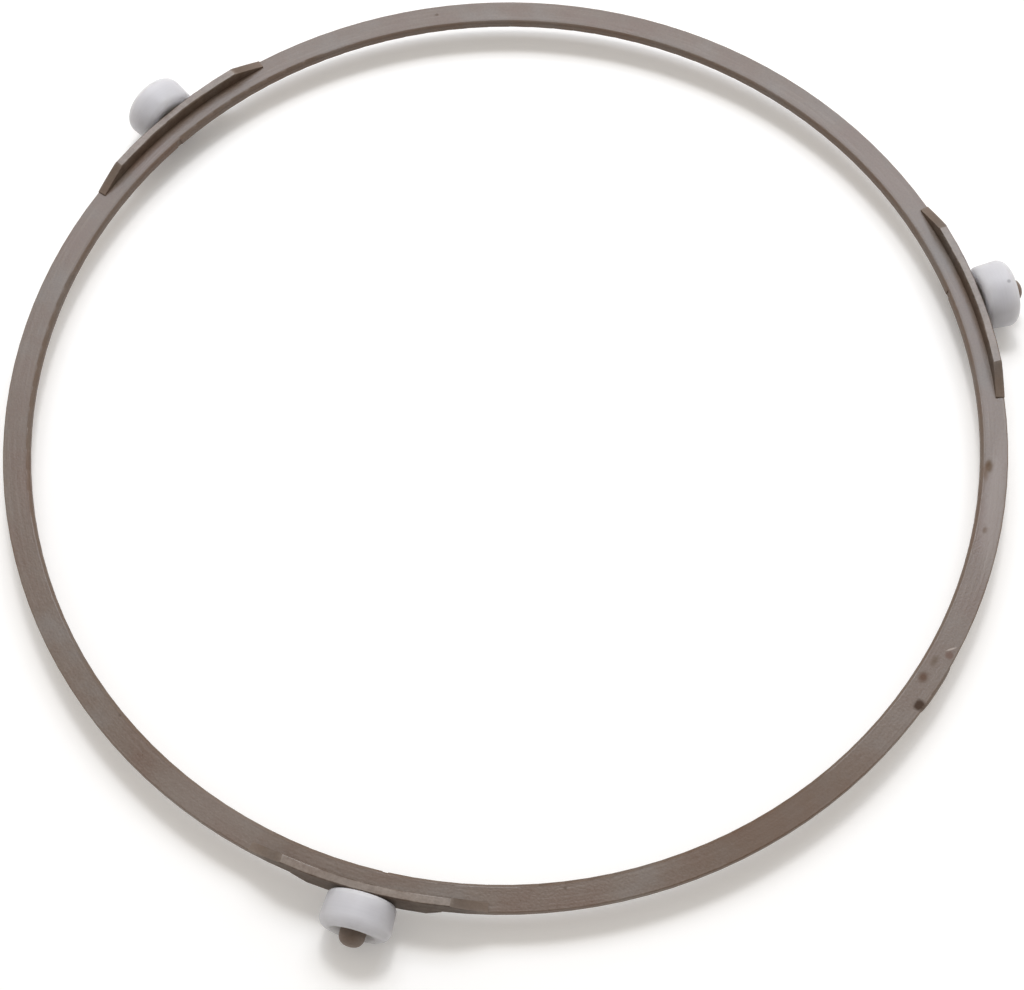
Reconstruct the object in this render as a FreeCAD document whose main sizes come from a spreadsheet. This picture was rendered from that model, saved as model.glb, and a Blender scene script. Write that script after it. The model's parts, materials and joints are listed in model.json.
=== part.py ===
import FreeCAD, Part
import os

import Sketcher
from FreeCAD import Placement, Rotation, Vector

# Roller ring of a microwave oven. A flat moulded band carries lugs on its outer edge, each lug carries a
# radial axle with a rounded head, and a roller turns on each axle. The rollers run on the oven floor and
# the glass tray lies on top of them.
#
# The origin is on the ring's axis at floor level and +Z is up. Lengths are in millimetres.

# Driving sizes: name, value, meaning
SIZES = [
    ("ring_diameter", 204.0, "outside of the flat band"),
    ("band_width", 5.4, "radial width of the band"),
    ("band_height", 2.0, "thickness of the band"),
    ("rim_round", 0.7, "rounding of the rim, the band's inner top edge"),
    ("band_edge", 0.25, "rounding of the band's other three edges"),
    ("band_top_above_axle", 1.0, "band's top face above the axles"),
    ("lug_length", 46.6, "straight length of a lug, from ramp foot to ramp foot"),
    ("lug_flat_length", 32.6, "straight length of a lug's level top"),
    ("lug_wall", 1.8, "radial thickness of a lug"),
    ("lug_rise", 2.9, "lug top above the band's top face"),
    ("lug_edge", 0.25, "rounding of a lug's top edges"),
    ("skirt_length", 29.4, "straight length of the skirt below a lug, where it leaves the band"),
    ("skirt_foot_length", 23.4, "straight length of the skirt's lower edge"),
    ("skirt_drop", 2.9, "skirt's lower edge below the band"),
    ("end_step", 0.2, "height of the small step where a ramp or a skirt's sloped end meets the band"),
    ("gate_offset", 2.7, "gate notch from the lug's middle, along the band"),
    ("gate_length", 1.2, "length of the notch where the moulding gate was trimmed off"),
    ("gate_depth", 0.2, "depth of the gate notch in the band's inner face"),
    ("shoulder_diameter", 6.0, "shoulder that keeps a roller off its lug"),
    ("shoulder_height", 0.2, "shoulder's face beyond the band's outside"),
    ("axle_diameter", 4.0, "axle stub"),
    ("head_diameter", 5.0, "head that keeps a roller on its axle"),
    ("head_length", 3.15, "head from its inner face to its tip"),
    ("head_round", 1.9, "rounding that makes the head a dome"),
    ("roller_count", 3, "rollers round the ring"),
    ("first_roller_angle", 30.0, "direction of the first roller, in degrees from +X"),
    ("roller_diameter", 14.0, "roller where it is largest, on the rounding of its outer edge"),
    ("roller_width", 6.95, "width of a roller"),
    ("tread_taper", 4.0, "slope of the tread towards the lug, in degrees"),
    ("tread_round_inside", 1.1, "rounding of the tread's edge next to the lug"),
    ("tread_round_outside", 1.9, "rounding of the tread's outer edge"),
    ("dish_diameter", 9.0, "mouth of the dish in a roller's outer face"),
    ("dish_floor_diameter", 7.6, "floor of the dish"),
    ("dish_depth", 1.0, "depth of the dish"),
    ("bore_clearance", 0.08, "running clearance between axle and bore, on the radius"),
    ("end_play", 0.15, "clearance at each end of a roller"),
    ("cut_margin", 1.0, "how far a cutting outline reaches past what it cuts"),
]

# Places worked out from the driving sizes. Radii are from the ring's axis, heights from the floor.
OUTSIDE = "Sizes.ring_diameter / 2"
INSIDE = f"{OUTSIDE} - Sizes.band_width"
AXLE_HEIGHT = "Sizes.roller_diameter / 2"
BAND_TOP = f"{AXLE_HEIGHT} + Sizes.band_top_above_axle"
BAND_BOTTOM = f"{BAND_TOP} - Sizes.band_height"
BAND_MIDDLE = f"{BAND_TOP} - Sizes.band_height / 2"
LUG_TOP = f"{BAND_TOP} + Sizes.lug_rise"
LUG_INSIDE = f"{OUTSIDE} - Sizes.lug_wall"
LUG_MIDDLE = f"{OUTSIDE} - Sizes.lug_wall / 2"
RAMP_FOOT = f"{BAND_TOP} + Sizes.end_step"
SKIRT_BOTTOM = f"{BAND_BOTTOM} - Sizes.skirt_drop"
SKIRT_END_TOP = f"{BAND_BOTTOM} - Sizes.end_step"
SHOULDER_FACE = f"{OUTSIDE} + Sizes.shoulder_height"
ROLLER_INSIDE = f"{SHOULDER_FACE} + Sizes.end_play"
ROLLER_OUTSIDE = f"{ROLLER_INSIDE} + Sizes.roller_width"
DISH_FLOOR = f"{ROLLER_OUTSIDE} - Sizes.dish_depth"
HEAD_FACE = f"{DISH_FLOOR} + Sizes.end_play"
HEAD_TIP = f"{HEAD_FACE} + Sizes.head_length"

# Angles that a lug and its skirt take up round the ring
LUG_ANGLE = "2 * asin(Sizes.lug_length / Sizes.ring_diameter)"
SKIRT_ANGLE = "2 * asin(Sizes.skirt_length / Sizes.ring_diameter)"

# Radii about an axle
AXLE_RADIUS = "Sizes.axle_diameter / 2"
BORE_RADIUS = f"{AXLE_RADIUS} + Sizes.bore_clearance"
HEAD_RADIUS = "Sizes.head_diameter / 2"

# The tread's corners, before they are rounded. The outer rounding lies against the taper and the outer face
# and reaches the roller's full radius in between.
ROUNDING_PLACE = "(Sizes.roller_width - Sizes.tread_round_outside) * tan(Sizes.tread_taper)"
ROUNDING_LOSS = "Sizes.tread_round_outside * (1 / cos(Sizes.tread_taper) - 1)"
TREAD_INSIDE_RADIUS = f"Sizes.roller_diameter / 2 - {ROUNDING_PLACE} + {ROUNDING_LOSS}"
TREAD_OUTSIDE_RADIUS = f"{TREAD_INSIDE_RADIUS} + Sizes.roller_width * tan(Sizes.tread_taper)"

FULL_TURN = 360.0
SAME = 1e-4

# How a sketch numbers its own origin and axes, and the start and end of a line
ORIGIN_POINT = (-1, 1)
LEVEL_AXIS = -1
START = 1
END = 2


def make_sheet(doc):
    """Writes the driving sizes into a spreadsheet, one named cell each."""
    sheet = doc.addObject("Spreadsheet::Sheet", "Sizes")
    for row, (name, size, meaning) in enumerate(SIZES, 1):
        sheet.set(f"A{row}", meaning)
        sheet.set(f"B{row}", str(size))
        sheet.setAlias(f"B{row}", name)
    doc.recompute()


def number_of(doc, formula):
    """Gives the number that a formula comes to with the sizes in the sheet."""
    return float(doc.Sizes.evalExpression(formula))


def origin_feature(body, role):
    """Finds one of the body's own planes or axes."""
    return next(feature for feature in body.Origin.OriginFeatures if feature.Role == role)


def new_body(doc, name, angle):
    """Starts a body that is drawn with its axle along +X and then turned to its place round the ring."""
    body = doc.addObject("PartDesign::Body", name)
    body.Label = name
    body.Placement = Placement(Vector(0, 0, 0), Rotation(Vector(0, 0, 1), angle))
    return body


def new_sketch(body, name, plane, lift="0"):
    """Starts a sketch on one of the body's planes, with its level axis raised by a formula."""
    sketch = body.newObject("Sketcher::SketchObject", name)
    sketch.AttachmentSupport = [(origin_feature(body, plane), "")]
    sketch.MapMode = "FlatFace"
    sketch.setExpression("AttachmentOffset.Base.y", lift)
    return sketch


def tie_corner(sketch, line, direction, formula):
    """Ties the start of a line to the place that a formula gives, across or up from the sketch's origin."""
    size = number_of(sketch.Document, formula)
    constraint = sketch.addConstraint(Sketcher.Constraint(direction, *ORIGIN_POINT, line, START, size))
    sketch.setExpression(f"Constraints[{constraint}]", formula)


def draw_outline(sketch, corners):
    """Draws a closed outline of straight lines. A corner is a pair of formulas, across and up.

    A corner whose second formula is None lies on the sketch's level axis.
    """
    doc = sketch.Document
    spots = [Vector(number_of(doc, across), number_of(doc, up or "0"), 0) for across, up in corners]
    lines = []
    for spot, following in zip(spots, spots[1:] + spots[:1]):
        lines.append(sketch.addGeometry(Part.LineSegment(spot, following), False))
    for line, following in zip(lines, lines[1:] + lines[:1]):
        sketch.addConstraint(Sketcher.Constraint("Coincident", line, END, following, START))
    for line, (across, up) in zip(lines, corners):
        tie_corner(sketch, line, "DistanceX", across)
        if up is None:
            sketch.addConstraint(Sketcher.Constraint("PointOnObject", line, START, LEVEL_AXIS))
        else:
            tie_corner(sketch, line, "DistanceY", up)
    doc.recompute()


def revolve(body, name, sketch, axis, angle=str(FULL_TURN)):
    """Adds the solid that a sketch sweeps about one of its axes, evenly to both sides of its plane."""
    feature = body.newObject("PartDesign::Revolution", name)
    feature.Profile = sketch
    feature.ReferenceAxis = (sketch, [axis])
    feature.Midplane = True
    feature.setExpression("Angle", angle)
    body.Document.recompute()
    return feature


def cut_through(body, name, sketch):
    """Cuts a sketch's outlines through all that lies before its plane."""
    uncut = body.Shape.Volume
    feature = body.newObject("PartDesign::Pocket", name)
    feature.Profile = sketch
    feature.Type = "ThroughAll"
    feature.Reversed = True
    body.Document.recompute()
    if body.Shape.Volume >= uncut:
        raise ValueError(f"{name} cuts nothing")
    return feature


def slope_cut(body, name, level_length, level_height, clear_height, foot_length, foot_height):
    """Cuts a slope at both ends of a wall: from the end of its level edge to its foot at the band.

    The cut reaches past the level edge to the clear height.
    """
    sketch = new_sketch(body, f"{name}_outlines", "YZ_Plane")
    for side in ("", "-"):
        level_end = f"{side}{level_length} / 2"
        foot = f"{side}{foot_length} / 2"
        beyond = f"{side}({foot_length} / 2 + Sizes.cut_margin)"
        draw_outline(sketch, [
            (level_end, level_height),
            (foot, foot_height),
            (beyond, foot_height),
            (beyond, clear_height),
            (level_end, clear_height),
        ])
    return cut_through(body, name, sketch)


def round_edges(body, name, radius, wanted):
    """Rounds the edges of the body so far that pass a test."""
    base = body.Tip
    edges = [f"Edge{number}" for number, edge in enumerate(base.Shape.Edges, 1) if wanted(edge)]
    if not edges:
        raise ValueError(f"{name} finds no edge to round")
    feature = body.newObject("PartDesign::Fillet", name)
    feature.Base = (base, edges)
    feature.setExpression("Radius", radius)
    body.Document.recompute()


def is_circle(edge, radius=None):
    """Tells whether an edge is a circle or an arc, of the given radius where one is named."""
    if edge.Curve.TypeId != "Part::GeomCircle":
        return False
    return radius is None or abs(edge.Curve.Radius - radius) < SAME


def add_band(body):
    """Sweeps the band's section about the ring's axis and rounds its edges, the rim most."""
    inside = number_of(body.Document, INSIDE)
    top = number_of(body.Document, BAND_TOP)

    def is_rim(edge):
        return is_circle(edge, inside) and abs(edge.Curve.Center.z - top) < SAME

    sketch = new_sketch(body, "band_section", "XZ_Plane")
    draw_outline(sketch, [
        (INSIDE, BAND_BOTTOM),
        (OUTSIDE, BAND_BOTTOM),
        (OUTSIDE, BAND_TOP),
        (INSIDE, BAND_TOP),
    ])
    revolve(body, "band", sketch, "V_Axis")
    round_edges(body, "band_rounding", "Sizes.band_edge", lambda edge: is_circle(edge) and not is_rim(edge))
    round_edges(body, "rim_rounding", "Sizes.rim_round", is_rim)


def add_lug(body):
    """Adds the lug on +X: a curved wall on the band's edge and a skirt below, with sloped ends."""
    wall = new_sketch(body, "lug_section", "XZ_Plane")
    draw_outline(wall, [
        (LUG_INSIDE, BAND_MIDDLE),
        (OUTSIDE, BAND_MIDDLE),
        (OUTSIDE, LUG_TOP),
        (LUG_INSIDE, LUG_TOP),
    ])
    wall_sweep = revolve(body, "lug_wall", wall, "V_Axis", LUG_ANGLE)

    skirt = new_sketch(body, "skirt_section", "XZ_Plane")
    draw_outline(skirt, [
        (LUG_INSIDE, BAND_MIDDLE),
        (LUG_INSIDE, SKIRT_BOTTOM),
        (OUTSIDE, SKIRT_BOTTOM),
        (OUTSIDE, BAND_MIDDLE),
    ])
    skirt_sweep = revolve(body, "skirt", skirt, "V_Axis", SKIRT_ANGLE)

    ramps = slope_cut(body, "ramps", "Sizes.lug_flat_length", LUG_TOP, f"{LUG_TOP} + Sizes.cut_margin",
                      "Sizes.lug_length", RAMP_FOOT)
    skirt_ends = slope_cut(body, "skirt_ends", "Sizes.skirt_foot_length", SKIRT_BOTTOM,
                           f"{SKIRT_BOTTOM} - Sizes.cut_margin", "Sizes.skirt_length", SKIRT_END_TOP)
    return [wall_sweep, skirt_sweep, ramps, skirt_ends]


def add_gate_notch(body):
    """Cuts the small notch in the band's inner face where the moulding gate of this lug was trimmed off."""
    sketch = new_sketch(body, "gate_outline", "XY_Plane")
    near_end = "Sizes.gate_offset - Sizes.gate_length / 2"
    far_end = "Sizes.gate_offset + Sizes.gate_length / 2"
    draw_outline(sketch, [
        (f"{INSIDE} - Sizes.cut_margin", near_end),
        (f"{INSIDE} + Sizes.gate_depth", near_end),
        (f"{INSIDE} + Sizes.gate_depth", far_end),
        (f"{INSIDE} - Sizes.cut_margin", far_end),
    ])
    return [cut_through(body, "gate_notch", sketch)]


def add_axle(body):
    """Adds the shoulder, axle and head that stand out along +X, swept about the axle's own axis."""
    sketch = new_sketch(body, "axle_section", "XZ_Plane", AXLE_HEIGHT)
    shoulder_radius = "Sizes.shoulder_diameter / 2"
    draw_outline(sketch, [
        (LUG_MIDDLE, None),
        (LUG_MIDDLE, shoulder_radius),
        (SHOULDER_FACE, shoulder_radius),
        (SHOULDER_FACE, AXLE_RADIUS),
        (HEAD_FACE, AXLE_RADIUS),
        (HEAD_FACE, HEAD_RADIUS),
        (HEAD_TIP, HEAD_RADIUS),
        (HEAD_TIP, None),
    ])
    return [revolve(body, "axle", sketch, "H_Axis")]


def repeat_round_ring(body, features):
    """Repeats features round the ring, one set for each roller."""
    pattern = body.newObject("PartDesign::PolarPattern", "stations")
    pattern.Originals = features
    pattern.Axis = (origin_feature(body, "Z_Axis"), [""])
    pattern.Angle = FULL_TURN
    pattern.setExpression("Occurrences", "Sizes.roller_count")
    body.Tip = pattern
    body.Document.recompute()


def make_ring(doc, angle):
    """Makes the moulded ring: band, lugs and axles in one piece."""
    body = new_body(doc, "ring", angle)
    add_band(body)
    features = add_lug(body) + add_gate_notch(body) + add_axle(body)
    repeat_round_ring(body, features)

    lug_top = number_of(doc, LUG_TOP)
    head_tip = number_of(doc, HEAD_TIP)
    head_radius = number_of(doc, HEAD_RADIUS)
    round_edges(body, "lug_rounding", "Sizes.lug_edge",
                lambda edge: is_circle(edge) and abs(edge.Curve.Center.z - lug_top) < SAME)
    round_edges(body, "head_rounding", "Sizes.head_round",
                lambda edge: is_circle(edge, head_radius)
                and abs(Vector(edge.Curve.Center.x, edge.Curve.Center.y, 0).Length - head_tip) < SAME)


def make_roller(doc, name, angle):
    """Makes a roller: a tapered and rounded tread, a bore that runs on the axle and a dish for the head."""
    body = new_body(doc, name, angle)
    sketch = new_sketch(body, "section", "XZ_Plane", AXLE_HEIGHT)
    draw_outline(sketch, [
        (ROLLER_INSIDE, BORE_RADIUS),
        (ROLLER_INSIDE, TREAD_INSIDE_RADIUS),
        (ROLLER_OUTSIDE, TREAD_OUTSIDE_RADIUS),
        (ROLLER_OUTSIDE, "Sizes.dish_diameter / 2"),
        (DISH_FLOOR, "Sizes.dish_floor_diameter / 2"),
        (DISH_FLOOR, BORE_RADIUS),
    ])
    revolve(body, "wheel", sketch, "H_Axis")
    for part, place, radius in (
        ("inside", ROLLER_INSIDE, TREAD_INSIDE_RADIUS),
        ("outside", ROLLER_OUTSIDE, TREAD_OUTSIDE_RADIUS),
    ):
        across = number_of(doc, place)
        circle = number_of(doc, radius)
        round_edges(body, f"rounding_{part}", f"Sizes.tread_round_{part}",
                    lambda edge: is_circle(edge, circle) and abs(edge.Curve.Center.x - across) < SAME)


def check_and_write(doc):
    """Stops if anything failed to build, and otherwise writes each piece to a file of its own."""
    for item in doc.Objects:
        if "Invalid" in item.State or "Error" in item.State:
            raise ValueError(f"{item.Label} did not build")
    pieces = [item for item in doc.Objects if item.TypeId == "PartDesign::Body"]
    for piece in pieces:
        if piece.Shape.isNull() or not piece.Shape.isValid() or len(piece.Shape.Solids) != 1:
            raise ValueError(f"{piece.Label} is not one sound solid")
    os.makedirs("parts", exist_ok=True)
    for piece in pieces:
        piece.Shape.exportStep(f"parts/{piece.Label}.step")
        print(piece.Label, round(piece.Shape.Volume, 2), "cubic mm")


def main():
    doc = FreeCAD.newDocument("RollerRing")
    make_sheet(doc)
    count = int(doc.Sizes.roller_count)
    first_angle = doc.Sizes.first_roller_angle
    make_ring(doc, first_angle)
    for station in range(count):
        make_roller(doc, f"roller_{station + 1}", first_angle + station * FULL_TURN / count)
    doc.recompute()
    check_and_write(doc)


main()
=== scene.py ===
import json
from math import atan2, cos, pi, radians, sin

import bpy
import numpy as np
from bpy.props import FloatProperty, FloatVectorProperty, PointerProperty
from mathutils import Euler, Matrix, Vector


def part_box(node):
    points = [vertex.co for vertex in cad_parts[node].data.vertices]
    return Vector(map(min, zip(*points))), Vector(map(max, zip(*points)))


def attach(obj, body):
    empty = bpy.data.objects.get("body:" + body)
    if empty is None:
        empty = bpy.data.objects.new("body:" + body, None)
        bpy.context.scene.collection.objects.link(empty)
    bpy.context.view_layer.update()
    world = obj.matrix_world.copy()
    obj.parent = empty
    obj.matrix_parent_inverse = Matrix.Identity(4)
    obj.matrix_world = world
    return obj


bl_info = {
    "name": "Microwave roller ring",
    "version": (1, 0, 0),
    "blender": (4, 5, 0),
    "location": "View3D > Sidebar > Roller ring",
    "description": "Finishes the roller ring of a microwave oven and sets it on a pale studio floor",
    "category": "Object",
}

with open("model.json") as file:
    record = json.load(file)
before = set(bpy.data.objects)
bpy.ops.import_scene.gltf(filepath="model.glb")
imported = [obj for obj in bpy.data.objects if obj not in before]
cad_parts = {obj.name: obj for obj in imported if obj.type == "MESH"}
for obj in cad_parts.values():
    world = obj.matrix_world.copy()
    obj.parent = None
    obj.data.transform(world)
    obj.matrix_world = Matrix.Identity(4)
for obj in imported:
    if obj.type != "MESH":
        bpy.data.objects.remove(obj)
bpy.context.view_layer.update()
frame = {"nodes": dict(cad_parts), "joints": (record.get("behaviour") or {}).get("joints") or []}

MM = 0.001

# Sockets of a colour Mix node
FACTOR, FIRST, SECOND = 0, 6, 7
MIXED = 2


# Colours and nodes

def linear(code):
    """Turns an sRGB hex colour into linear red, green and blue."""
    shares = np.array([int(code[place:place + 2], 16) for place in (0, 2, 4)]) / 255
    curved = np.where(shares <= 0.04045, shares / 12.92, ((shares + 0.055) / 1.055) ** 2.4)
    return tuple(float(share) for share in curved)


def solid(colour):
    """Gives a colour the full alpha that a colour socket asks for."""
    return (*colour, 1.0)


def add_node(tree, kind, inputs=None, **settings):
    """Adds a node with its settings. An input given as a socket is linked, any other is a value."""
    made = tree.nodes.new(kind)
    for name, setting in settings.items():
        setattr(made, name, setting)
    for name, source in (inputs or {}).items():
        if isinstance(source, bpy.types.NodeSocket):
            tree.links.new(source, made.inputs[name])
        else:
            made.inputs[name].default_value = source
    return made


def new_material(name):
    """Starts an empty material and gives it with its node tree."""
    material = bpy.data.materials.new(name)
    material.use_nodes = True
    material.node_tree.nodes.clear()
    return material, material.node_tree


def link_object(made):
    """Puts an object into the scene."""
    bpy.context.scene.collection.objects.link(made)
    return made


# Sizes and colours that a user would change

class RingFinish(bpy.types.PropertyGroup):
    """Looks of the moulded ring, and the places on it that they follow."""

    colour: FloatVectorProperty(
        name="Colour", description="Brown taupe of the moulded plastic",
        subtype="COLOR", min=0, max=1, default=linear("6c5b4d"))
    warm_colour: FloatVectorProperty(
        name="Warm cloud", description="Browner tone of the faint clouds in the plastic",
        subtype="COLOR", min=0, max=1, default=linear("6a5445"))
    grey_colour: FloatVectorProperty(
        name="Grey cloud", description="Greyer tone of the faint clouds in the plastic",
        subtype="COLOR", min=0, max=1, default=linear("70655c"))
    rubbed_colour: FloatVectorProperty(
        name="Rubbed tone", description="Paler tone of scuffs, handled edges and lug tops",
        subtype="COLOR", min=0, max=1, default=linear("8c7f74"))
    # A darker tone laid along the inner rim
    darker_colour: FloatVectorProperty(
        name="Rim grime", description="Dark film that has settled along the inner rim",
        subtype="COLOR", min=0, max=1, default=linear("57463a"))
    # Painted shade: a dark brown laid in patches on the lugs' walls and ramps
    wall_shade_colour: FloatVectorProperty(
        name="Wall grime", description="Dark film on the lugs' walls and ramps",
        subtype="COLOR", min=0, max=1, default=linear("3a2a1c"))
    scuff_strength: FloatProperty(
        name="Scuff strength", description="How far the palest scuff goes to the rubbed tone",
        subtype="FACTOR", min=0, max=1, default=0.22)
    edge_strength: FloatProperty(
        name="Edge strength", description="How far the handled outer edge goes to the rubbed tone",
        subtype="FACTOR", min=0, max=1, default=0.3)
    rubbed_least: FloatProperty(
        name="Least rubbed", description="How far the darkest patch of a lug's top goes to the rubbed tone",
        subtype="FACTOR", min=0, max=1, default=0.15)
    rubbed_most: FloatProperty(
        name="Most rubbed", description="How far the palest patch of a lug's top goes to the rubbed tone",
        subtype="FACTOR", min=0, max=1, default=0.85)
    # How much of the inner rim's colour is the darker tone
    rim_strength: FloatProperty(
        name="Rim grime strength", description="How much of the inner rim's colour is grime",
        subtype="FACTOR", min=0, max=1, default=0.3)
    # Shares of painted shade on the lugs' walls, in their lightest and darkest patches
    wall_shade_least: FloatProperty(
        name="Least wall grime", description="Share of grime in the cleanest patch of a lug's wall",
        subtype="FACTOR", min=0, max=1, default=0.4)
    wall_shade_most: FloatProperty(
        name="Most wall grime", description="Share of grime in the dirtiest patch of a lug's wall",
        subtype="FACTOR", min=0, max=1, default=0.66)
    speckle: FloatProperty(
        name="Speckle", description="Share by which the grain makes the colour paler and darker",
        subtype="FACTOR", min=0, max=1, default=0.07)
    roughness: FloatProperty(
        name="Roughness", description="Satin left by the mould", subtype="FACTOR", min=0, max=1, default=0.33)
    satin_spread: FloatProperty(
        name="Satin spread", description="How far the roughness varies to either side",
        subtype="FACTOR", min=0, max=1, default=0.06)
    # Roughness added on stains, on the darker rim and on the lugs' painted shade
    added_dullness: FloatProperty(
        name="Dirt dullness", description="Roughness that thick dirt adds",
        subtype="FACTOR", min=0, max=1, default=0.2)
    wall_roughness: FloatProperty(
        name="Wall roughness", description="Duller skin on upright faces, which slid along the mould",
        subtype="FACTOR", min=0, max=1, default=0.62)
    cloud_size: FloatProperty(
        name="Cloud size", description="Width of a cloud of tone", unit="LENGTH", default=13 * MM)
    grain_size: FloatProperty(
        name="Grain size", description="Width of a grain of the mould's texture",
        unit="LENGTH", default=0.45 * MM)
    grain_depth: FloatProperty(
        name="Grain depth", description="Depth of the mould's texture", unit="LENGTH", default=0.018 * MM)
    scuff_length: FloatProperty(
        name="Scuff length", description="Length of a faint scuff along the band", unit="LENGTH",
        default=16 * MM)
    scuff_width: FloatProperty(
        name="Scuff width", description="Width of a faint scuff", unit="LENGTH", default=0.6 * MM)
    # Width of a patch of wear on a lug's top or of painted shade on its walls
    patch_size: FloatProperty(
        name="Patch size", description="Width of a patch of wear or grime on a lug", unit="LENGTH",
        default=2.4 * MM)
    wobble_size: FloatProperty(
        name="Wobble size", description="Width of a wave in a stain's uneven rim", unit="LENGTH",
        default=0.9 * MM)
    edge_width: FloatProperty(
        name="Edge width", description="Width of the handled strip along the outer edge", unit="LENGTH",
        default=0.6 * MM)
    band_outside: FloatProperty(
        name="Band outside", description="Radius of the band's outer edge", unit="LENGTH",
        default=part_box("ring")[1].x)
    band_top: FloatProperty(
        name="Band top", description="Height of the band's top face", unit="LENGTH", default=8 * MM)
    rim_outside: FloatProperty(
        name="Rim outside", description="Radius where the rounded inner rim meets the band's flat top",
        unit="LENGTH", default=97.3 * MM)
    lug_top: FloatProperty(
        name="Lug top", description="Height of the lugs' top faces", unit="LENGTH",
        default=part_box("ring")[1].z)
    lug_inside: FloatProperty(
        name="Lug inside", description="Radius of the lugs' inner walls", unit="LENGTH", default=100.2 * MM)
    lug_reach: FloatProperty(
        name="Lug reach", description="Angle from a lug's middle to the foot of its ramp", unit="ROTATION",
        default=radians(13.2))
    # Where the painted shade on a lug's walls begins to thin out
    shade_reach: FloatProperty(
        name="Grime reach", description="Angle from a lug's middle to where its grime begins to thin out",
        unit="ROTATION", default=radians(10.56))


class SwellingShape(bpy.types.PropertyGroup):
    """Size and place of the blemish where the band's outer edge has swollen."""

    start: FloatProperty(
        name="Start", description="Direction of the first end from the ring's axis", unit="ROTATION",
        default=radians(-23.6))
    end: FloatProperty(
        name="End", description="Direction of the second end from the ring's axis", unit="ROTATION",
        default=radians(-17.2))
    half_height: FloatProperty(
        name="Half height", description="Half the height of the swelling", unit="LENGTH", default=0.8 * MM)
    half_depth: FloatProperty(
        name="Half depth", description="How far the swelling stands out of the edge", unit="LENGTH",
        default=0.4 * MM)
    middle_height: FloatProperty(
        name="Middle height", description="Height of the swelling's middle", unit="LENGTH", default=7.0 * MM)
    sink: FloatProperty(
        name="Sink", description="How far inside the edge the swelling's middle lies", unit="LENGTH",
        default=0.05 * MM)
    wave: FloatProperty(
        name="Wave", description="Share by which the swelling is uneven from end to end", subtype="FACTOR",
        min=0, max=1, default=0.12)


class RollerFinish(bpy.types.PropertyGroup):
    """Looks of the rollers."""

    colour: FloatVectorProperty(
        name="Colour", description="Cool white of the moulded plastic",
        subtype="COLOR", min=0, max=1, default=linear("bdbcc0"))
    # Grey of the film in clouds, and of the painted shade in the dish
    darker_colour: FloatVectorProperty(
        name="Grime", description="Grey film that has settled in the dish",
        subtype="COLOR", min=0, max=1, default=linear("918c86"))
    roughness: FloatProperty(
        name="Roughness", description="Gloss of the tread", subtype="FACTOR", min=0, max=1, default=0.5)
    cloud_size: FloatProperty(
        name="Cloud size", description="Width of a cloud of grime", unit="LENGTH", default=4.5 * MM)
    line_width: FloatProperty(
        name="Line width", description="Width of a running line round the tread", unit="LENGTH",
        default=0.35 * MM)
    line_depth: FloatProperty(
        name="Line depth", description="Depth of a running line", unit="LENGTH", default=0.006 * MM)
    film_strength: FloatProperty(
        name="Film strength", description="Share of grime in the thickest cloud of film",
        subtype="FACTOR", min=0, max=1, default=0.16)
    film_dullness: FloatProperty(
        name="Film dullness", description="Roughness that a thick film adds",
        subtype="FACTOR", min=0, max=1, default=0.18)
    # Share of painted shade at the bottom of the dish
    dish_shade_strength: FloatProperty(
        name="Dish grime strength", description="Share of grime at the bottom of the dish",
        subtype="FACTOR", min=0, max=1, default=0.75)
    # Distances from the axle within which the dish's painted shade is darkest, and where it ends
    dish_inside: FloatProperty(
        name="Dish inside", description="Distance from the axle within which the dish's grime is thickest",
        unit="LENGTH", default=3.5 * MM)
    dish_outside: FloatProperty(
        name="Dish outside", description="Distance from the axle at which the dish's grime ends",
        unit="LENGTH", default=5.0 * MM)
    glow_depth: FloatProperty(
        name="Glow depth", description="How far light spreads inside the milky plastic", unit="LENGTH",
        default=14.0 * MM)


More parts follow.
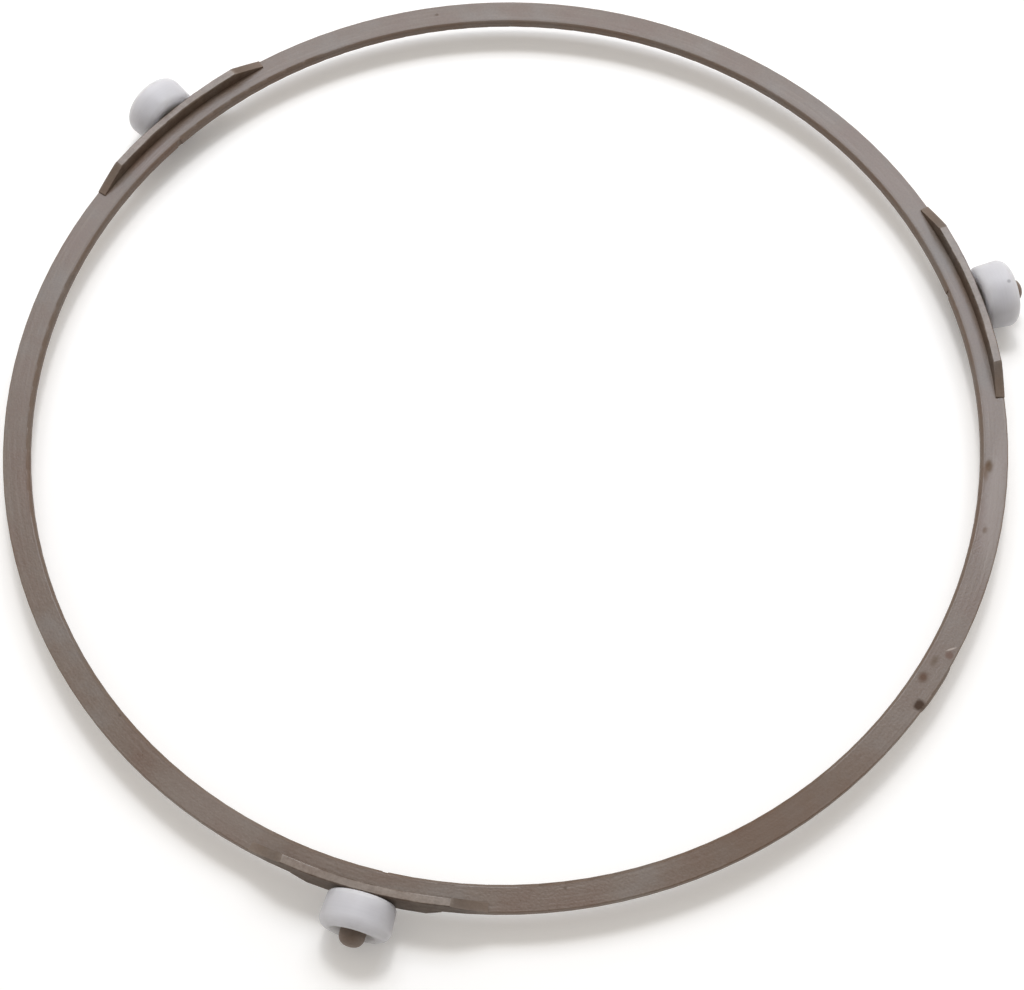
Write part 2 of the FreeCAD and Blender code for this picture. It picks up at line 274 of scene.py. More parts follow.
class StageSetting(bpy.types.PropertyGroup):
    """Floor, light and camera."""

    floor_colour: FloatVectorProperty(
        name="Floor", description="Colour of the matt floor",
        subtype="COLOR", min=0, max=1, default=linear("faf9f7"))
    floor_size: FloatProperty(
        name="Floor size", description="Side of the square floor", unit="LENGTH", default=12.0)
    board_wave: FloatProperty(
        name="Board wave", description="Width of a faint cloud in the floor's board", unit="LENGTH",
        default=40 * MM)
    board_spread: FloatProperty(
        name="Board spread", description="Share by which the board is paler and darker",
        subtype="FACTOR", min=0, max=1, default=0.005)
    fill_colour: FloatVectorProperty(
        name="Fill colour", description="Colour of the light from all round",
        subtype="COLOR", min=0, max=1, default=linear("fffaf4"))
    fill_strength: FloatProperty(
        name="Fill strength", description="Light from all round, where 1 lights a white face to white",
        default=0.60)
    fill_lean: FloatProperty(
        name="Fill lean", description="Share by which the fill is stronger behind and weaker at the camera",
        subtype="FACTOR", min=0, max=1, default=0.65)
    fill_rise: FloatProperty(
        name="Fill rise", description="Share of the fill that fades from overhead to the horizon",
        subtype="FACTOR", min=0, max=1, default=0.3)
    ceiling_level: FloatProperty(
        name="Ceiling level", description="Brightness of the ceiling where it is reflected",
        subtype="FACTOR", min=0, max=1, default=0.1)
    floor_glow: FloatProperty(
        name="Floor glow", description="Brightness added to the floor where it is seen, which lights nothing",
        subtype="FACTOR", min=0, max=1, default=0.12)
    key_power: FloatProperty(
        name="Key power", description="Power of the small high lamp that draws the shadows", unit="POWER",
        default=1.7)
    key_size: FloatProperty(
        name="Key size", description="Width of the round key lamp", unit="LENGTH", default=0.16)
    box_power: FloatProperty(
        name="Soft box power", description="Power of the wide soft box behind", unit="POWER", default=3.4)
    box_colour: FloatVectorProperty(
        name="Soft box colour", description="Cool tone of the soft box",
        subtype="COLOR", min=0, max=1, default=linear("eaf2ff"))
    box_width: FloatProperty(
        name="Soft box width", description="Level side of the soft box", unit="LENGTH", default=0.72)
    box_height: FloatProperty(
        name="Soft box height", description="Sloping side of the soft box", unit="LENGTH", default=0.27)
    lens: FloatProperty(
        name="Lens", description="Focal length", unit="CAMERA", default=76.58)


# Marks on the band's top: place in millimetres, half width across and along the band in millimetres,
# turn from those directions in degrees, softness of the rim, colour and strength. Dried stains are dull,
# pale places shine like the rest; one pale place is painted sheen.
STAINS = [
    (97.2, 13.4, 0.75, 1.35, 0, 0.55, "59442f", 0.80),
    (96.7, 12.2, 0.60, 2.00, 0, 0.70, "6b5442", 0.55),
    (98.84, -0.5, 0.45, 0.70, 0, 0.60, "5d4838", 0.60),
    (92.6, -33.9, 0.85, 1.15, 0, 0.65, "5a4030", 0.75),
    (92.9, -39.6, 0.95, 1.15, 0, 0.42, "44342a", 0.95),
    (94.1, -30.1, 0.55, 1.10, 0, 0.70, "5f4f3f", 0.55),
    (96.7, -28.2, 0.80, 0.80, 0, 0.50, "6a5148", 0.65),
    (35.9, -91.2, 0.30, 0.40, 0, 0.50, "54453a", 0.60),
    (-39.8, 91.5, 0.30, 0.40, 0, 0.50, "54453a", 0.60),
    (-55.2, -80.3, 0.30, 0.35, 0, 0.50, "54453a", 0.55),
    # A large browner and duller patch on the band
    (71.4, -69.0, 7.0, 24.0, 0, 0.75, "5f432c", 0.45),
]
PALE_PLACES = [
    (96.8, -26.9, 0.95, 0.16, 48, 0.50, "b0a296", 0.65),
    # A paler patch on the band beside a lug's end
    (-32.3, -93.9, 5.0, 11.0, 0, 0.70, "81756c", 0.40),
    # Painted sheen: a paler streak over the outer part of the band that stands in for a sheen
    (99.6, 6.0, 1.7, 13.0, 0, 0.60, "8a7d74", 0.50),
]

# The dark fleck that has been pressed into one roller: node, place and radii of its core and its faded rim in
# millimetres, colour and strength
FLECK_NODE = "roller_1"
FLECK_PLACE = (93.43, 52.87, 13.93)
FLECK_CORE, FLECK_RIM = 0.21, 0.546
FLECK_COLOUR = "4b4a4c"
FLECK_STRENGTH = 0.45


# Materials

# Values between which most of a noise lies, and the narrower ones that cut it into patches
NOISE_LOW, NOISE_HIGH = 0.3, 0.7
PATCH_LOW, PATCH_HIGH = 0.35, 0.65

# Values of their noises between which a cloud's tone turns, and a scuff or a film comes up
CLOUD_LOW, CLOUD_HIGH = 0.32, 0.68
SCUFF_LOW, SCUFF_HIGH = 0.52, 0.78
FILM_LOW, FILM_HIGH = 0.42, 0.75

# Upward part of a face's direction: upright faces have no more than the first, the lugs' painted shade ends
# at the second, and level faces have at least the third
UPRIGHT, SHADE_END, LEVEL = 0.9, 0.96, 0.995

# Distances between which wear begins to fade and has ended: inwards from the outer edge to the edge's width,
# below a lug's top, past a lug's walls, and inwards and outwards of the rim's outside
EDGE_CLEAR = 0.1 * MM
TOP_CLEAR, TOP_FADED = 0.05 * MM, 0.3 * MM
WALL_CLEAR, WALL_FADED = 0.05 * MM, 0.15 * MM
RIM_INWARDS, RIM_OUTWARDS = 0.2 * MM, 0.4 * MM

# Specular level of the bare plastic, and of dried stains, the darker rim and the lugs' painted shade
BARE_SHINE, DULL_SHINE = 0.5, 0.05

# Part of a noise that makes a stain's rim uneven
RIM_WOBBLE = 0.7

# Relief of a scuff as a part of the grain's
SCUFF_RELIEF = 0.6

# Brightness of the darkest and the palest running line
LINE_DARK, LINE_PALE = 0.985, 1.01


def ellipse_mask(tree, place, spot, band_top, wobble):
    """Gives a mask that is 1 inside an ellipse on the band's top and falls to 0 across its soft rim.

    The place is moved to the ellipse's middle, turned so that its axes lie across and along the band or as
    far off as the turn says, and divided by its half widths, so that the length of the result is 1 on the
    rim. A part of a noise makes the rim uneven. A noise is 0.5 on average, so the rim is taken half of that
    part further out.
    """
    x, y, across, along, turn, soft = spot
    local = add_node(tree, "ShaderNodeMapping", {
        "Vector": place,
        "Location": (x * MM, y * MM, band_top),
        "Rotation": (0, 0, atan2(y, x) + radians(turn)),
        "Scale": (across * MM, along * MM, MM),
    }, vector_type="TEXTURE").outputs[0]
    reach = add_node(tree, "ShaderNodeVectorMath", {0: local}, operation="LENGTH").outputs["Value"]
    uneven = add_node(tree, "ShaderNodeMath", {0: wobble, 1: RIM_WOBBLE, 2: reach},
                      operation="MULTIPLY_ADD").outputs[0]
    rim = 1 + RIM_WOBBLE / 2
    return add_node(tree, "ShaderNodeMapRange", {
        "Value": uneven, "From Min": rim - soft, "From Max": rim + soft, "To Min": 1.0, "To Max": 0.0,
    }, interpolation_type="SMOOTHSTEP").outputs[0]


def melt_tone(tree, clouds, finish):
    """Gives the plastic's own colour, which the clouds carry from a warmer to a greyer tone."""
    tones = add_node(tree, "ShaderNodeValToRGB", {"Fac": clouds})
    ramp = tones.color_ramp.elements
    ends = [(CLOUD_LOW, finish.warm_colour), (CLOUD_HIGH, finish.grey_colour)]
    for element, (cloud, tone) in zip(ramp, ends):
        element.position = cloud
        element.color = solid(tone)
    ramp.new((CLOUD_LOW + CLOUD_HIGH) / 2).color = solid(finish.colour)
    return tones.outputs["Color"]


def band_scuffs(tree, direction, radius, height, finish):
    """Gives a noise that is drawn out along the band.

    The way along the band is counted in scuff lengths, and the radius plus the height in scuff widths.
    """
    along = add_node(tree, "ShaderNodeVectorMath", {
        0: direction, "Scale": finish.band_outside / finish.scuff_length,
    }, operation="SCALE").outputs[0]
    outward = add_node(tree, "ShaderNodeMath", {0: radius, 1: height}).outputs[0]
    across = add_node(tree, "ShaderNodeMath", {0: outward, 1: 1 / finish.scuff_width},
                      operation="MULTIPLY").outputs[0]
    lift = add_node(tree, "ShaderNodeCombineXYZ", {"Z": across}).outputs[0]
    path = add_node(tree, "ShaderNodeVectorMath", {0: along, 1: lift}).outputs[0]
    return add_node(tree, "ShaderNodeTexNoise", {
        "Vector": path, "Scale": 1.0, "Detail": 2.0, "Roughness": 0.6,
    }).outputs["Fac"]


def lug_walls(tree, direction, radius, facing_up, lug_directions, finish):
    """Gives the masks of the lugs' walls: near a lug's direction, steep, short of the axle, off the rim."""
    nearest = -1.0
    for lug_direction in lug_directions:
        towards = add_node(tree, "ShaderNodeVectorMath", {0: direction, 1: lug_direction},
                           operation="DOT_PRODUCT").outputs["Value"]
        nearest = add_node(tree, "ShaderNodeMath", {0: nearest, 1: towards}, operation="MAXIMUM").outputs[0]
    on_lug = add_node(tree, "ShaderNodeMapRange", {
        "Value": nearest, "From Min": cos(finish.lug_reach), "From Max": cos(finish.shade_reach),
    }).outputs[0]
    steep = add_node(tree, "ShaderNodeMapRange", {
        "Value": facing_up, "From Min": UPRIGHT, "From Max": SHADE_END, "To Min": 1.0, "To Max": 0.0,
    }).outputs[0]
    off_axle = add_node(tree, "ShaderNodeMapRange", {
        "Value": radius, "From Min": finish.band_outside + WALL_CLEAR,
        "From Max": finish.band_outside + WALL_FADED, "To Min": 1.0, "To Max": 0.0,
    }).outputs[0]
    off_rim = add_node(tree, "ShaderNodeMapRange", {
        "Value": radius, "From Min": finish.lug_inside - WALL_FADED,
        "From Max": finish.lug_inside - WALL_CLEAR,
    }).outputs[0]
    return on_lug, steep, off_axle, off_rim


def ring_material(finish, lug_directions):
    """Polyphenylene sulphide with glass fibre, injection moulded and heat resistant.

    The mould leaves a satin skin with a fine even grain. The flow of the melt leaves faint clouds of tone,
    and use leaves scuffs along the band, paler edges and a few dried stains. The inner rim is drawn darker,
    and the lugs' walls and ramps carry painted shade in patches.
    """
    material, tree = new_material("moulded_polyphenylene_sulphide")
    place = add_node(tree, "ShaderNodeTexCoord").outputs["Object"]
    height = add_node(tree, "ShaderNodeSeparateXYZ", {0: place}).outputs["Z"]
    flat = add_node(tree, "ShaderNodeVectorMath", {0: place, 1: (1, 1, 0)}, operation="MULTIPLY").outputs[0]
    radius = add_node(tree, "ShaderNodeVectorMath", {0: flat}, operation="LENGTH").outputs["Value"]
    direction = add_node(tree, "ShaderNodeVectorMath", {0: flat}, operation="NORMALIZE").outputs[0]
    facing = add_node(tree, "ShaderNodeTexCoord").outputs["Normal"]
    facing_up = add_node(tree, "ShaderNodeSeparateXYZ", {0: facing}).outputs["Z"]

    # Clouds from the flow of the melt, patches of wear and of painted shade on the lugs, and the mould's
    # grain, which is drawn a little coarser than the real one so that it shows
    clouds = add_node(tree, "ShaderNodeTexNoise", {
        "Vector": place, "Scale": 1 / finish.cloud_size, "Detail": 3.0, "Roughness": 0.55,
    }).outputs["Fac"]
    patches = add_node(tree, "ShaderNodeTexNoise", {
        "Vector": place, "Scale": 1 / finish.patch_size, "Detail": 5.0, "Roughness": 0.7,
    }).outputs["Fac"]
    grain = add_node(tree, "ShaderNodeTexNoise", {
        "Vector": place, "Scale": 1 / finish.grain_size, "Detail": 2.0, "Roughness": 0.5,
    }).outputs["Fac"]
    scuffs = band_scuffs(tree, direction, radius, height, finish)
    scuffed = add_node(tree, "ShaderNodeMapRange", {
        "Value": scuffs, "From Min": SCUFF_LOW, "From Max": SCUFF_HIGH, "To Max": finish.scuff_strength,
    }).outputs[0]

    # The outer edge, which is handled most, broken up by the clouds
    from_outside = add_node(tree, "ShaderNodeMath", {0: finish.band_outside, 1: radius},
                            operation="SUBTRACT").outputs[0]
    edge = add_node(tree, "ShaderNodeMapRange", {
        "Value": from_outside, "From Min": EDGE_CLEAR, "From Max": finish.edge_width,
        "To Min": finish.edge_strength, "To Max": 0.0,
    }).outputs[0]
    handled = add_node(tree, "ShaderNodeMath", {0: edge, 1: clouds}, operation="MULTIPLY").outputs[0]

    # Lug tops, which have been rubbed paler in patches
    patched = add_node(tree, "ShaderNodeMapRange", {
        "Value": patches, "From Min": PATCH_LOW, "From Max": PATCH_HIGH,
        "To Min": finish.rubbed_least, "To Max": finish.rubbed_most,
    }).outputs[0]
    on_top = add_node(tree, "ShaderNodeMapRange", {
        "Value": height, "From Min": finish.lug_top - TOP_FADED, "From Max": finish.lug_top - TOP_CLEAR,
    }).outputs[0]
    rubbed = add_node(tree, "ShaderNodeMath", {0: patched, 1: on_top}, operation="MULTIPLY").outputs[0]

    # A darker tone on the rounded inner rim, which fades out on the flat top
    rim_darkening = add_node(tree, "ShaderNodeMapRange", {
        "Value": radius, "From Min": finish.rim_outside - RIM_INWARDS,
        "From Max": finish.rim_outside + RIM_OUTWARDS, "To Min": finish.rim_strength, "To Max": 0.0,
    }, interpolation_type="SMOOTHSTEP").outputs[0]

    # Painted shade in patches on the lugs' upright walls, thinner on their ramps, with none on the axles
    wall_shade = add_node(tree, "ShaderNodeMapRange", {
        "Value": patches, "From Min": PATCH_LOW, "From Max": PATCH_HIGH,
        "To Min": finish.wall_shade_most, "To Max": finish.wall_shade_least,
    }).outputs[0]
    for mask in lug_walls(tree, direction, radius, facing_up, lug_directions, finish):
        wall_shade = add_node(tree, "ShaderNodeMath", {0: wall_shade, 1: mask},
                              operation="MULTIPLY").outputs[0]

    # The layers of wear, the darker rim and the lugs' painted shade, from the plastic up, with the grain's
    # speckle over them
    layers = [
        (scuffed, finish.rubbed_colour),
        (handled, finish.rubbed_colour),
        (rubbed, finish.rubbed_colour),
        (rim_darkening, finish.darker_colour),
        (wall_shade, finish.wall_shade_colour),
    ]
    colour = melt_tone(tree, clouds, finish)
    for share, tone in layers:
        colour = add_node(tree, "ShaderNodeMix", {
            FACTOR: share, FIRST: colour, SECOND: solid(tone),
        }, data_type="RGBA").outputs[MIXED]
    speckle = add_node(tree, "ShaderNodeMapRange", {
        "Value": grain, "From Min": NOISE_LOW, "From Max": NOISE_HIGH,
        "To Min": 1 - finish.speckle, "To Max": 1 + finish.speckle,
    }).outputs[0]
    colour = add_node(tree, "ShaderNodeVectorMath", {0: colour, "Scale": speckle},
                      operation="SCALE").outputs[0]

    # Dried stains, pale places and a painted sheen
    wobble = add_node(tree, "ShaderNodeTexNoise", {
        "Vector": place, "Scale": 1 / finish.wobble_size, "Detail": 2.0,
    }).outputs["Fac"]
    # Places that are duller with little shine: the darker rim and the lugs' painted shade, and below, the
    # stains
    dirt_and_shade = add_node(tree, "ShaderNodeMath", {0: rim_darkening, 1: wall_shade}, operation="MAXIMUM").outputs[0]
    # The last of the pale places is painted sheen
    for blemish in STAINS + PALE_PLACES:
        *spot, tone, strength = blemish
        mask = ellipse_mask(tree, place, spot, finish.band_top, wobble)
        share = add_node(tree, "ShaderNodeMath", {0: mask, 1: strength}, operation="MULTIPLY").outputs[0]
        colour = add_node(tree, "ShaderNodeMix", {
            FACTOR: share, FIRST: colour, SECOND: solid(linear(tone)),
        }, data_type="RGBA").outputs[MIXED]
        if blemish in STAINS:
            dirt_and_shade = add_node(tree, "ShaderNodeMath", {0: dirt_and_shade, 1: share}, operation="MAXIMUM").outputs[0]

    # Satin that varies with the clouds and the grain, and is duller on stains, on the darker rim,
    # on the lugs' painted shade and on upright faces
    uneven = add_node(tree, "ShaderNodeMath", {0: clouds, 1: grain}).outputs[0]
    satin = add_node(tree, "ShaderNodeMapRange", {
        "Value": uneven, "From Min": 2 * NOISE_LOW, "From Max": 2 * NOISE_HIGH,
        "To Min": finish.roughness - finish.satin_spread, "To Max": finish.roughness + finish.satin_spread,
    }).outputs[0]
    roughness = add_node(tree, "ShaderNodeMath", {0: dirt_and_shade, 1: finish.added_dullness, 2: satin},
                         operation="MULTIPLY_ADD").outputs[0]
    roughness = add_node(tree, "ShaderNodeMapRange", {
        "Value": facing_up, "From Min": UPRIGHT, "From Max": LEVEL,
        "To Min": finish.wall_roughness, "To Max": roughness,
    }).outputs[0]

    # Dried stains, the darker rim and the lugs' painted shade have next to no shine of their own
    shine = add_node(tree, "ShaderNodeMapRange", {
        "Value": dirt_and_shade, "To Min": BARE_SHINE, "To Max": DULL_SHINE,
    }).outputs[0]

    relief = add_node(tree, "ShaderNodeMath", {0: scuffs, 1: SCUFF_RELIEF, 2: grain},
                      operation="MULTIPLY_ADD").outputs[0]
    normal = add_node(tree, "ShaderNodeBump", {
        "Strength": 1.0, "Distance": finish.grain_depth, "Height": relief,
    }).outputs[0]
    shader = add_node(tree, "ShaderNodeBsdfPrincipled", {
        "Base Color": colour, "Roughness": roughness, "IOR": 1.6, "Specular IOR Level": shine,
        "Normal": normal,
    }).outputs[0]
    add_node(tree, "ShaderNodeOutputMaterial", {"Surface": shader})
    return material


def roller_material(name, axle_place, axle_angle, finish, fleck):
    """Polyacetal, injection moulded, white and slippery.

    It has a smooth cool white skin with a soft gloss, and a milky body that carries some light into the
    shade. Running leaves fine lines round the tread and a grey film in clouds, and painted shade darkens
    the dish towards the bore.
    """
    material, tree = new_material(f"moulded_polyacetal_{name}")
    place = add_node(tree, "ShaderNodeTexCoord").outputs["Object"]
    local = add_node(tree, "ShaderNodeMapping", {
        "Vector": place, "Location": tuple(axle_place), "Rotation": (0, 0, axle_angle),
    }, vector_type="TEXTURE").outputs[0]
    along_axle = add_node(tree, "ShaderNodeSeparateXYZ", {0: local}).outputs["X"]
    section = add_node(tree, "ShaderNodeVectorMath", {0: local, 1: (0, 1, 1)},
                       operation="MULTIPLY").outputs[0]
    radius = add_node(tree, "ShaderNodeVectorMath", {0: section}, operation="LENGTH").outputs["Value"]

    # Running lines are rings round the axle, so only the places along it and out from it count
    ring_place = add_node(tree, "ShaderNodeCombineXYZ", {"X": along_axle, "Y": radius}).outputs[0]
    lines = add_node(tree, "ShaderNodeTexNoise", {
        "Vector": ring_place, "Scale": 1 / finish.line_width, "Detail": 1.0,
    }).outputs["Fac"]

    # Grey film in clouds all over, and painted shade that darkens the dish towards the bore
    clouds = add_node(tree, "ShaderNodeTexNoise", {
        "Vector": local, "Scale": 1 / finish.cloud_size, "Detail": 3.0, "Roughness": 0.6,
    }).outputs["Fac"]
    film = add_node(tree, "ShaderNodeMapRange", {
        "Value": clouds, "From Min": FILM_LOW, "From Max": FILM_HIGH, "To Max": finish.film_strength,
    }).outputs[0]
    dish_shade = add_node(tree, "ShaderNodeMapRange", {
        "Value": radius, "From Min": finish.dish_inside, "From Max": finish.dish_outside,
        "To Min": finish.dish_shade_strength, "To Max": 0.0,
    }).outputs[0]
    # From here on the film's share also holds the painted shade in the dish
    film = add_node(tree, "ShaderNodeMath", {0: film, 1: dish_shade}, use_clamp=True).outputs[0]
    colour = add_node(tree, "ShaderNodeMix", {
        FACTOR: film, FIRST: solid(finish.colour), SECOND: solid(finish.darker_colour),
    }, data_type="RGBA").outputs[MIXED]
    line_shade = add_node(tree, "ShaderNodeMapRange", {
        "Value": lines, "From Min": NOISE_LOW, "From Max": NOISE_HIGH,
        "To Min": LINE_DARK, "To Max": LINE_PALE,
    }).outputs[0]
    colour = add_node(tree, "ShaderNodeVectorMath", {0: colour, "Scale": line_shade},
                      operation="SCALE").outputs[0]

    if fleck:
        gap = add_node(tree, "ShaderNodeVectorMath", {0: place, 1: tuple(part * MM for part in FLECK_PLACE)},
                       operation="DISTANCE").outputs["Value"]
        fleck_mask = add_node(tree, "ShaderNodeMapRange", {
            "Value": gap, "From Min": FLECK_CORE * MM, "From Max": FLECK_RIM * MM,
            "To Min": FLECK_STRENGTH, "To Max": 0.0,
        }, interpolation_type="SMOOTHSTEP").outputs[0]
        colour = add_node(tree, "ShaderNodeMix", {
            FACTOR: fleck_mask, FIRST: colour, SECOND: solid(linear(FLECK_COLOUR)),
        }, data_type="RGBA").outputs[MIXED]

    roughness = add_node(tree, "ShaderNodeMapRange", {
        "Value": film, "To Min": finish.roughness, "To Max": finish.roughness + finish.film_dullness,
    }).outputs[0]
    normal = add_node(tree, "ShaderNodeBump", {
        "Strength": 1.0, "Distance": finish.line_depth, "Height": lines,
    }).outputs[0]
    shader = add_node(tree, "ShaderNodeBsdfPrincipled", {
        "Base Color": colour, "Roughness": roughness, "IOR": 1.48, "Normal": normal,
        "Subsurface Weight": 1.0, "Subsurface Radius": (1, 1, 1), "Subsurface Scale": finish.glow_depth,
    }).outputs[0]
    add_node(tree, "ShaderNodeOutputMaterial", {"Surface": shader})
    return material


def seen_directly(tree):
    """Gives 1 for rays that show a surface, straight or in a reflection, and 0 for rays that light."""
    path = add_node(tree, "ShaderNodeLightPath").outputs
    seen = add_node(tree, "ShaderNodeMath", {0: path["Is Camera Ray"], 1: path["Is Glossy Ray"]},
                    operation="MAXIMUM").outputs[0]
    return add_node(tree, "ShaderNodeMath", {0: seen, 1: path["Is Transmission Ray"]},
                    operation="MAXIMUM").outputs[0]


def floor_material(setting):
    """Matt white board with a faint unevenness, which keeps the object's shadow."""
    material, tree = new_material("matt_white_board")
    place = add_node(tree, "ShaderNodeTexCoord").outputs["Object"]
    clouds = add_node(tree, "ShaderNodeTexNoise", {
        "Vector": place, "Scale": 1 / setting.board_wave, "Detail": 2.0,
    }).outputs["Fac"]
    shade = add_node(tree, "ShaderNodeMapRange", {
        "Value": clouds, "To Min": 1 - setting.board_spread, "To Max": 1 + setting.board_spread,
    }).outputs[0]
    colour = add_node(tree, "ShaderNodeVectorMath", {0: tuple(setting.floor_colour), "Scale": shade},
                      operation="SCALE").outputs[0]
    lit = add_node(tree, "ShaderNodeBsdfDiffuse", {"Color": colour}).outputs[0]
    glow = add_node(tree, "ShaderNodeMath", {0: seen_directly(tree), 1: setting.floor_glow},
                    operation="MULTIPLY").outputs[0]
    glowing = add_node(tree, "ShaderNodeEmission", {"Strength": glow}).outputs[0]
    shader = add_node(tree, "ShaderNodeAddShader", {0: lit, 1: glowing}).outputs[0]
    add_node(tree, "ShaderNodeOutputMaterial", {"Surface": shader})
    return material


# Shapes

# The slow wave along the swelling, in radians: from end to end, and where it starts
WAVE_LENGTH, WAVE_START = 7, 1


def spindle_on_band(shape, band_outside, steps=48, sides=16):
    """Gives the points of a spindle that is bent round the ring's axis and half sunk into the band's edge.

    At share u from end to end and angle v round the section, the half sizes are their full values times
    the square root of sin(pi u), uneven by a slow wave. The radius is the band's outside less the sink plus
    the half depth times cos v, the height is the middle height plus the half height times sin v, and the
    direction from the ring's axis runs evenly from the start to the end.
    """
    share, turn = np.meshgrid(np.linspace(0, 1, steps), np.linspace(0, 2 * pi, sides, endpoint=False),
                              indexing="ij")
    uneven = 1 + shape.wave * np.sin(WAVE_LENGTH * share + WAVE_START)
    fullness = np.sqrt(np.clip(np.sin(pi * share), 0, 1)) * uneven
    direction = shape.start + (shape.end - shape.start) * share
    radius = band_outside - shape.sink + shape.half_depth * fullness * np.cos(turn)
    height = shape.middle_height + shape.half_height * fullness * np.sin(turn)
    return np.stack([radius * np.cos(direction), radius * np.sin(direction), height], axis=-1)


def closed_spindle(name, points):
    """Makes a mesh from rings of points, with each end ring drawn together to one pole."""
    steps, sides, _ = points.shape
    corners = points[1:-1].reshape(-1, 3)
    poles = points[[0, -1]].mean(axis=1)
    first, second = np.meshgrid(np.arange(steps - 3), np.arange(sides), indexing="ij")
    following = (second + 1) % sides
    walls = np.stack([
        first * sides + second,
        first * sides + following,
        (first + 1) * sides + following,
        (first + 1) * sides + second,
    ], axis=-1).reshape(-1, 4)
    around = np.arange(sides)
    after = (around + 1) % sides
    last = (steps - 3) * sides
    start_pole = np.full(sides, len(corners))
    caps = [
        np.stack([start_pole, after, around], axis=-1),
        np.stack([start_pole + 1, last + around, last + after], axis=-1),
    ]
    mesh = bpy.data.meshes.new(name)
    faces = walls.tolist() + [face for cap in caps for face in cap.tolist()]
    mesh.from_pydata(np.concatenate([corners, poles]).tolist(), [], faces)
    mesh.shade_smooth()
    mesh.update()
    return mesh


# Operators

class ROLLERRING_OT_finish_ring(bpy.types.Operator):
    """Gives the moulded ring its plastic, with its scuffs and stains"""

    bl_idname = "roller_ring.finish_ring"
    bl_label = "Finish the ring"

    def execute(self, context):
        ring = frame["nodes"]["ring"]
        lug_directions = [tuple(joint["axis"]) for joint in frame["joints"]]
        ring.material_slots[0].material = ring_material(context.scene.ring_finish, lug_directions)
        return {"FINISHED"}


class ROLLERRING_OT_add_swelling(bpy.types.Operator):
    """Adds the blemish where the band's outer edge has swollen"""

    bl_idname = "roller_ring.add_swelling"
    bl_label = "Add the edge swelling"

    def execute(self, context):
        scene = context.scene
        points = spindle_on_band(scene.swelling_shape, scene.ring_finish.band_outside)
        swelling = link_object(bpy.data.objects.new("edge_swelling", closed_spindle("edge_swelling", points)))
        swelling.data.materials.append(frame["nodes"]["ring"].material_slots[0].material)
        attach(swelling, "ring")
        return {"FINISHED"}


class ROLLERRING_OT_finish_rollers(bpy.types.Operator):
    """Gives each roller its plastic, lined up with its axle"""

    bl_idname = "roller_ring.finish_rollers"
    bl_label = "Finish the rollers"

    def execute(self, context):
        for joint in frame["joints"]:
            name = joint["child"]
            angle = atan2(joint["axis"][1], joint["axis"][0])
            material = roller_material(name, joint["pos_m"], angle, context.scene.roller_finish,
                                       name == FLECK_NODE)
            frame["nodes"][name].material_slots[0].material = material
        return {"FINISHED"}


# The camera stands as it did for the photograph: place in millimetres and turn in degrees
CAMERA_PLACE = (55.063, -184.418, 408.0)
CAMERA_TURN = (23.5892, 0.6522, 14.8067)

# About the direction over the floor, from +Y, in which the camera looks. The lamps and the fill keep to it.
VIEW_ANGLE = radians(16.3)

# Places of the lamps in metres: across, away from the camera and up
KEY_PLACE = (0.023, 0.335, 0.80)
BOX_PLACE = (0.06, 0.46, 0.80)

# Upward part of a direction where the room's wall begins to give way to the ceiling, and where it has ended
WALL_END, CEILING_START = 0.6, 0.9


def seen_from_camera(across, away, up):
    """Turns a place given as seen from the camera's side of the floor into the ring's own frame."""
    return Vector((
        across * cos(VIEW_ANGLE) - away * sin(VIEW_ANGLE),
        across * sin(VIEW_ANGLE) + away * cos(VIEW_ANGLE),
        up,
    ))


def add_lamp(name, place, power, **settings):
    """Adds an area lamp that points at the middle of the ring."""
    light = bpy.data.lights.new(name, "AREA")
    light.energy = power
    for setting, amount in settings.items():
        setattr(light, setting, amount)
    lamp = link_object(bpy.data.objects.new(name, light))
    lamp.location = place
    lamp.rotation_euler = (-place).to_track_quat("-Z", "Y").to_euler()


def studio_world(setting):
    """Makes the light from all round, and the white room that is seen in its place.

    The fill leans towards the side that the camera looks at, and rises from the horizon to overhead.
    """
    world = bpy.data.worlds.new("pale_studio")
    world.use_nodes = True
    tree = world.node_tree
    tree.nodes.clear()
    direction = add_node(tree, "ShaderNodeTexCoord").outputs["Generated"]
    behind = add_node(tree, "ShaderNodeVectorMath", {0: direction, 1: tuple(seen_from_camera(0, 1, 0))},
                      operation="DOT_PRODUCT").outputs["Value"]
    leaning = add_node(tree, "ShaderNodeMapRange", {
        "Value": behind, "From Min": -1.0, "From Max": 1.0,
        "To Min": setting.fill_strength * (1 - setting.fill_lean),
        "To Max": setting.fill_strength * (1 + setting.fill_lean),
    }).outputs[0]

    # Half as much gained overhead as is lost at the horizon keeps the light on a level face the same
    height = add_node(tree, "ShaderNodeSeparateXYZ", {0: direction}).outputs["Z"]
    rising = add_node(tree, "ShaderNodeMapRange", {
        "Value": height, "To Min": 1 - setting.fill_rise, "To Max": 1 + setting.fill_rise / 2,
    }).outputs[0]
    strength = add_node(tree, "ShaderNodeMath", {0: leaning, 1: rising}, operation="MULTIPLY").outputs[0]
    fill = add_node(tree, "ShaderNodeBackground", {
        "Color": solid(setting.fill_colour), "Strength": strength,
    }).outputs[0]

    # A white wall all round that gives way to a dimmer ceiling
    level = add_node(tree, "ShaderNodeMapRange", {
        "Value": height, "From Min": WALL_END, "From Max": CEILING_START,
        "To Min": 1.0, "To Max": setting.ceiling_level,
    }, interpolation_type="SMOOTHSTEP").outputs[0]
    room = add_node(tree, "ShaderNodeBackground", {"Color": (1, 1, 1, 1), "Strength": level}).outputs[0]
    mixed = add_node(tree, "ShaderNodeMixShader", {0: seen_directly(tree), 1: fill, 2: room}).outputs[0]
    add_node(tree, "ShaderNodeOutputWorld", {"Surface": mixed})
    return world


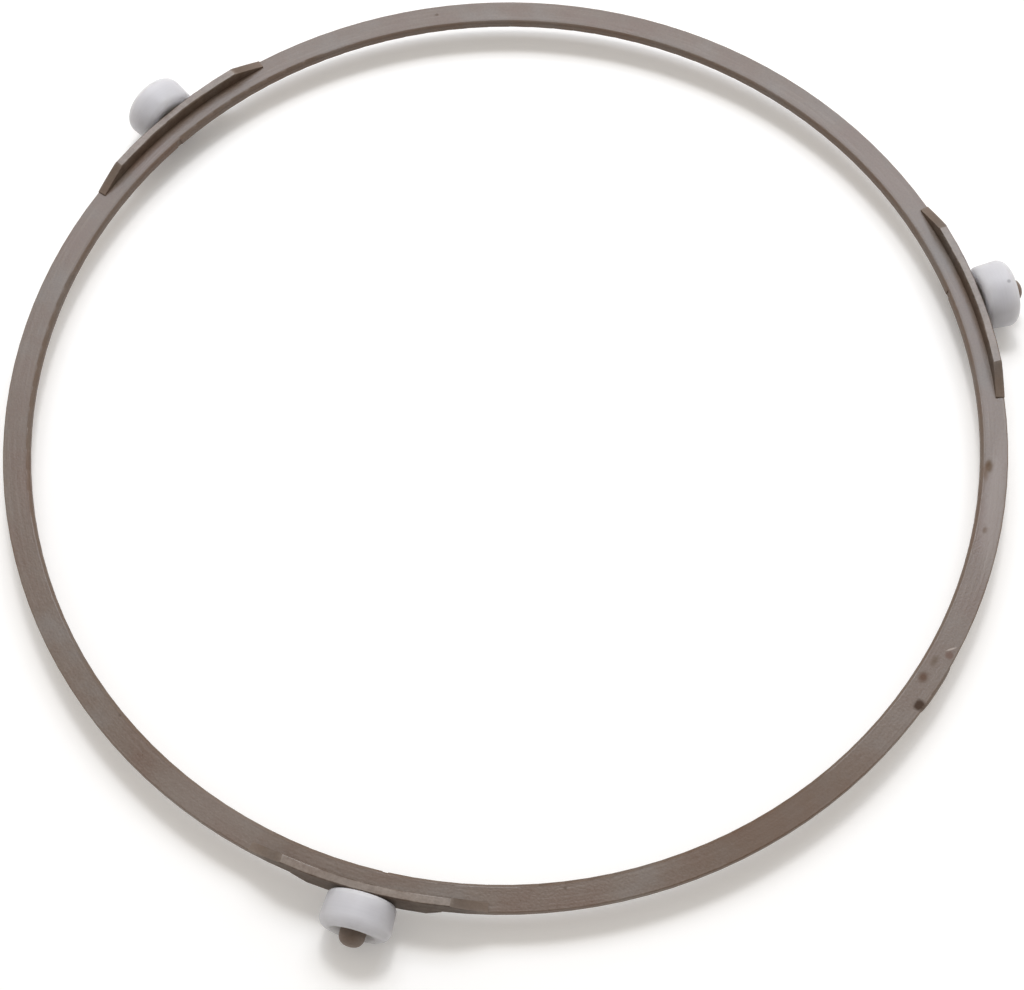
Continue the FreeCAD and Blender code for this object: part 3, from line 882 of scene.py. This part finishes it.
class ROLLERRING_OT_set_stage(bpy.types.Operator):
    """Lays the pale floor, sets the soft studio light and stands the camera where the photograph was taken"""

    bl_idname = "roller_ring.set_stage"
    bl_label = "Set the stage"

    def execute(self, context):
        scene = context.scene
        setting = scene.stage_setting
        reach = setting.floor_size / 2
        mesh = bpy.data.meshes.new("floor")
        mesh.from_pydata([(-reach, -reach, 0), (reach, -reach, 0), (reach, reach, 0), (-reach, reach, 0)],
                         [], [(0, 1, 2, 3)])
        mesh.materials.append(floor_material(setting))
        link_object(bpy.data.objects.new("floor", mesh))

        add_lamp("key_lamp", seen_from_camera(*KEY_PLACE), setting.key_power,
                 shape="DISK", size=setting.key_size)
        add_lamp("soft_box", seen_from_camera(*BOX_PLACE), setting.box_power,
                 color=tuple(setting.box_colour), shape="RECTANGLE",
                 size=setting.box_width, size_y=setting.box_height)
        scene.world = studio_world(setting)
        scene.view_settings.view_transform = "Standard"

        camera_data = bpy.data.cameras.new("camera")
        camera_data.sensor_fit = "HORIZONTAL"
        camera_data.lens = setting.lens
        camera = link_object(bpy.data.objects.new("camera", camera_data))
        camera.location = Vector(CAMERA_PLACE) * MM
        camera.rotation_euler = Euler([radians(turn) for turn in CAMERA_TURN])
        scene.camera = camera
        return {"FINISHED"}


class ROLLERRING_PT_panel(bpy.types.Panel):
    """Lists the settings and the steps"""

    bl_label = "Roller ring"
    bl_space_type = "VIEW_3D"
    bl_region_type = "UI"
    bl_category = "Roller ring"

    def draw(self, context):
        for settings, steps in SECTIONS.items():
            group = getattr(context.scene, settings)
            part = self.layout.box()
            for name in group.__annotations__:
                part.prop(group, name)
            for step in steps:
                part.operator(step.bl_idname)


# Settings on the scene, and the steps that use them
GROUPS = {
    "ring_finish": RingFinish,
    "swelling_shape": SwellingShape,
    "roller_finish": RollerFinish,
    "stage_setting": StageSetting,
}
SECTIONS = {
    "ring_finish": [ROLLERRING_OT_finish_ring],
    "swelling_shape": [ROLLERRING_OT_add_swelling],
    "roller_finish": [ROLLERRING_OT_finish_rollers],
    "stage_setting": [ROLLERRING_OT_set_stage],
}
CLASSES = [*GROUPS.values(), *(step for steps in SECTIONS.values() for step in steps), ROLLERRING_PT_panel]


def register():
    for made in CLASSES:
        bpy.utils.register_class(made)
    for name, group in GROUPS.items():
        setattr(bpy.types.Scene, name, PointerProperty(type=group))


def unregister():
    for name in GROUPS:
        delattr(bpy.types.Scene, name)
    for made in reversed(CLASSES):
        bpy.utils.unregister_class(made)


def main():
    register()
    bpy.ops.roller_ring.finish_ring()
    bpy.ops.roller_ring.add_swelling()
    bpy.ops.roller_ring.finish_rollers()
    bpy.ops.roller_ring.set_stage()


if __name__ == "__main__":
    main()
